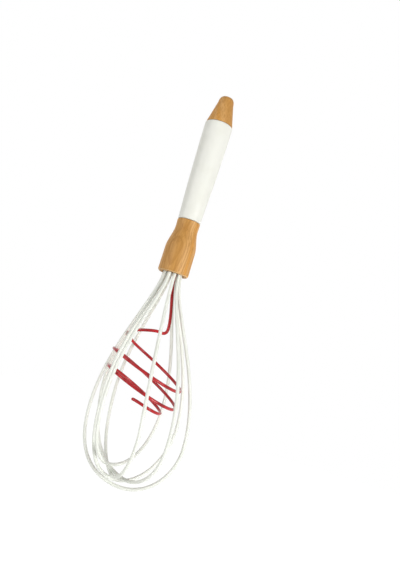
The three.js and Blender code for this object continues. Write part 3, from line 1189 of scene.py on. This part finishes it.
@dataclass
class Spiral:
    """The red coil inside the balloon, with its stem and its rounded free end."""

    bench: Bench
    strand_radius: float = 1.15 * MM
    wall: float = 0.3 * MM
    offset_x: float = 3 * MM
    offset_y: float = -0.5 * MM
    depth: float = 56 * MM
    pitch: float = 12.7 * MM
    tilt: float = 22.0
    nod: float = 4.5
    start_radius: float = 9.5 * MM
    end_radius: float = 7 * MM
    rise: float = 16 * MM
    end_lift: float = 3 * MM
    start_angle: float = 85.0
    sweep: float = 1115.0
    grow_sweep: float = 185.0
    lead_sweep: float = 165.0
    tail_sweep: float = 240.0
    stem_offset: float = 1.8 * MM
    stem_bend: float = 5 * MM
    stem_fullness: float = 0.25
    knot_angle: float = 30.0
    knot_steps: int = 14
    nudge: float = 0.01

    def coil_radius(self) -> float:
        """Give the coil's full radius, from the solid's reach before and behind."""
        low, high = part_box("spiral_jacket")
        return (high.y - low.y) / 2 - self.strand_radius

    def coil_point(self, swept: float, full: float) -> Vector:
        """Give a point of the coil's middle line.

        Args:
            swept: Degrees from the coil's start.
            full: The coil's full radius.

        Returns:
            The point, measured from the collar's mouth.
        """
        angle = self.start_angle + swept
        closing = eased((swept - self.sweep + self.tail_sweep) / self.tail_sweep)
        opened = between(self.start_radius, full, eased(swept / self.grow_sweep))
        radius = opened - closing * (full - self.end_radius)
        x = radius * math.cos(math.radians(angle))
        y = -radius * math.sin(math.radians(angle))
        raised = self.rise * (1 - eased(swept / self.lead_sweep)) + self.end_lift * closing
        sunk = self.depth + self.pitch * angle / 360
        lean = math.tan(math.radians(self.tilt)) * x - math.tan(math.radians(self.nod)) * y
        return Vector((self.offset_x + x, self.offset_y + y, raised - sunk - lean))

    def coil_slope(self, swept: float, full: float) -> Vector:
        """Give how the coil's middle line moves with each degree, at a place on it.

        Args:
            swept: Degrees from the coil's start.
            full: The coil's full radius.

        Returns:
            The move to a degree, in metres.
        """
        ahead, behind = min(swept + self.nudge, self.sweep), max(swept - self.nudge, 0.0)
        move = self.coil_point(ahead, full) - self.coil_point(behind, full)
        return move / (ahead - behind)

    def stem_knots(self, start: Vector, along: Vector, held: float) -> list[Knot]:
        """Give the stem's knots, from its held end to the bend into the coil.

        Args:
            start: The coil's first point.
            along: The coil's direction there.
            held: Height above the mouth to which the stem is held.

        Returns:
            The knots at the held end, the mouth and the foot.
        """
        leave = Vector((self.stem_offset, 0.0, 0.0))
        corner = start - along * self.stem_bend
        foot = corner - DOWN * self.stem_bend
        reach = self.stem_fullness * (foot - leave).length
        # Handles at two thirds of the way to the corner make the bend a parabola.
        bend = Knot(foot, foot - DOWN * reach, foot + (corner - foot) * 2 / 3)
        return [*straight_end(leave, held, reach), bend]

    def coil_knots(self, full: float) -> list[Knot]:
        """Give the coil's knots at even angles.

        Args:
            full: The coil's full radius.

        Returns:
            The knots from the stem to the free end.
        """
        count = round(self.sweep / self.knot_angle)
        third = self.sweep / count / 3
        knots = []
        for index in range(count + 1):
            swept = self.sweep * index / count
            place = self.coil_point(swept, full)
            reach = self.coil_slope(swept, full) * third
            knots.append(Knot(place, place - reach, place + reach))
        return knots

    def build(self) -> None:
        """Make the red skin with its free end rounded off."""
        mouth, held = wire_hold()
        full = self.coil_radius()
        knots = self.coil_knots(full)
        along = self.coil_slope(0.0, full).normalized()
        start = knots[0].place
        knots[0].before = start - along * self.stem_bend * 2 / 3
        wire = BentWire(
            self.bench, "red_spiral", self.strand_radius, self.wall, steps=self.knot_steps)
        skin = wire.sweep(self.stem_knots(start, along, held) + knots, mouth)
        tip = self.coil_slope(self.sweep, full).normalized()
        wire.close_tip(mouth + knots[-1].place, tip)
        wire.hollow()
        self.bench.dress(skin, self.bench.palette.red, "spiral_jacket")


@dataclass
class WireHolder:
    """The drilled disc in the collar's mouth that spaces the wires."""

    bench: Bench
    balloon: Balloon
    spiral: Spiral
    fit_gap: float = 0.35 * MM
    edge: float = 0.2 * MM
    edge_angle: float = 50.0
    edge_steps: int = 2
    facets: int = 72
    hole_facets: int = 28

    def upright(
        self, middle: Vector, radius: float, length: float, facets: int,
    ) -> bpy.types.Object:
        """Add an upright cylinder.

        Args:
            middle: Its middle.
            radius: Its radius.
            length: Its length along the axis.
            facets: Facets round it.

        Returns:
            The cylinder.
        """
        self.bench.clear()
        bpy.ops.mesh.primitive_cylinder_add(
            vertices=facets, radius=radius, depth=length, location=middle)
        return bpy.context.object

    def drills(self, height: float, length: float) -> bpy.types.Object:
        """Make the rods that cut the holes, one for each wire, as one object.

        Args:
            height: Height of their middle.
            length: Their length.

        Returns:
            The joined rods.
        """
        ring = self.balloon.ring_radius()
        holes = [
            (spoke(ring, self.balloon.azimuth(leg), height), self.balloon.wire_radius)
            for leg in range(2 * len(self.balloon.loops))
        ]
        holes.append((spoke(self.spiral.stem_offset, 0.0, height), self.spiral.strand_radius))
        rods = [
            self.upright(middle, radius + self.fit_gap, length, self.hole_facets)
            for middle, radius in holes
        ]
        self.bench.clear()
        for rod in rods:
            rod.select_set(True)
        bpy.context.view_layer.objects.active = rods[0]
        bpy.ops.object.join()
        return bpy.context.object

    def build(self) -> None:
        """Make the disc, drill its eleven holes and ease their edges."""
        low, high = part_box("wire_holder")
        height, thickness = (low.z + high.z) / 2, high.z - low.z
        cutter = self.drills(height, 2 * thickness)
        self.upright(Vector((0.0, 0.0, height)), high.x, thickness, self.facets)
        disc = self.bench.name("drilled_wire_disc")
        bpy.ops.object.transform_apply(location=True, rotation=True, scale=True)
        self.bench.apply("BOOLEAN", {
            "operation": "DIFFERENCE", "object": cutter, "solver": "EXACT",
        })
        self.bench.ease(self.edge, self.edge_angle, self.edge_steps)
        bpy.data.objects.remove(cutter)
        self.bench.dress(disc, self.bench.palette.nylon, "wire_holder")


@dataclass
class Fastening:
    """The solids inside the handle and the wires inside the skins, which keep their shapes."""

    bench: Bench
    loops: int

    def build(self) -> None:
        """Give each hidden solid its finish."""
        palette = self.bench.palette
        for node in ("tie_rod", "rod_nut", "rod_washer", "spiral_core"):
            self.bench.finish_node(node, palette.steel)
        for number in range(1, self.loops + 1):
            self.bench.finish_node(f"loop_{number}_core", palette.steel)
        self.bench.finish_node("knob_insert", palette.brass)
        self.bench.finish_node("potting_plug", palette.resin)


@dataclass(frozen=True)
class Lamp:
    """A soft square lamp: name, place, power in watts, width and whether gloss mirrors it."""

    name: str
    place: Place
    power: float
    width: float
    mirrored: bool = True


@dataclass
class Studio:
    """The floor, the light and the camera."""

    camera_place: Place = (0.0, -0.43127, -0.20604)
    camera_right: Place = (0.95321, -0.08878, 0.28899)
    camera_up: Place = (-0.29818, -0.11848, 0.94713)
    camera_ahead: Place = (0.04985, 0.98898, 0.13941)
    lens: float = 24.784
    film_height: float = 24.0
    nearest: float = 0.01
    floor_drop: float = 0.25
    floor_width: float = 6.0
    floor_colour: Colour = tint(236, 236, 234)
    floor_glow: float = 0.75
    sky: float = 0.31
    lamps: tuple[Lamp, ...] = (
        Lamp("right", (0.85, -0.85, -0.3), 10.6, 0.5),
        Lamp("left", (-0.95, -0.62, 0.0), 5.2, 0.7),
        Lamp("back", (0.15, 1.0, -0.2), 4.6, 0.7, mirrored=False),
    )
    target: Place = (0.0, 0.0, -0.15)

    def floor(self) -> None:
        """Lay a pale floor below the whisk that keeps its shadow."""
        bpy.ops.object.select_all(action="DESELECT")
        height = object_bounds()[0][2] - self.floor_drop
        bpy.ops.mesh.primitive_plane_add(size=self.floor_width, location=(0.0, 0.0, height))
        plane = bpy.context.object
        plane.name = "pale_floor"
        recipe = Recipe(bpy.data.materials.new("pale_floor"))
        matt = recipe.flow("ShaderNodeBsdfDiffuse", {}, {"Color": self.floor_colour})
        level = recipe.seen() * self.floor_glow
        glow = recipe.flow("ShaderNodeEmission", {}, {"Color": WHITE, "Strength": level})
        both = recipe.flow("ShaderNodeAddShader", {}, {0: matt, 1: glow})
        recipe.node("ShaderNodeOutputMaterial", {}, {"Surface": both})
        plane.data.materials.append(recipe.owner)
        plane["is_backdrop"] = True

    def world(self) -> None:
        """Make the surroundings white to look at and plain to be lit by."""
        recipe = Recipe(bpy.data.worlds.new("studio"))
        level = self.sky + recipe.seen() * (1 - self.sky)
        shine = recipe.flow("ShaderNodeBackground", {}, {"Color": WHITE, "Strength": level})
        recipe.node("ShaderNodeOutputWorld", {}, {"Surface": shine})
        bpy.context.scene.world = recipe.owner

    def hang(self, lamp: Lamp) -> None:
        """Hang a lamp so that it faces the whisk.

        Args:
            lamp: The lamp's place, size and power.
        """
        light = bpy.data.lights.new(lamp.name, "AREA")
        light.energy = lamp.power
        light.size = lamp.width
        hung = bpy.data.objects.new(lamp.name, light)
        bpy.context.scene.collection.objects.link(hung)
        hung.location = lamp.place
        hung.visible_glossy = lamp.mirrored
        aim = Vector(self.target) - hung.location
        hung.rotation_euler = aim.to_track_quat("-Z", "Y").to_euler()

    def camera(self) -> None:
        """Set the camera where the picture is taken from."""
        lens = bpy.data.cameras.new("camera")
        lens.sensor_fit = "VERTICAL"
        lens.sensor_height = self.film_height
        lens.lens = self.lens
        lens.clip_start = self.nearest
        camera = bpy.data.objects.new("camera", lens)
        bpy.context.scene.collection.objects.link(camera)
        ahead = Vector(self.camera_ahead)
        turned = Matrix((Vector(self.camera_right), Vector(self.camera_up), -ahead)).transposed()
        camera.matrix_world = Matrix.Translation(self.camera_place) @ turned.to_4x4()
        bpy.context.scene.camera = camera

    def build(self) -> None:
        """Set up the studio."""
        self.floor()
        self.world()
        for lamp in self.lamps:
            self.hang(lamp)
        self.camera()
        bpy.context.scene.view_settings.view_transform = "Standard"


def main() -> None:
    """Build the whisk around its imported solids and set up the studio."""
    logging.basicConfig(level=logging.INFO, format="%(name)s: %(message)s")
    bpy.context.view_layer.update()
    bench = Bench(Palette())
    balloon = Balloon(bench)
    spiral = Spiral(bench)
    Handle(bench).build()
    balloon.build()
    spiral.build()
    WireHolder(bench, balloon, spiral).build()
    Fastening(bench, len(balloon.loops)).build()
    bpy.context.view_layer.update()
    Studio().build()


if __name__ == "__main__":
    main()
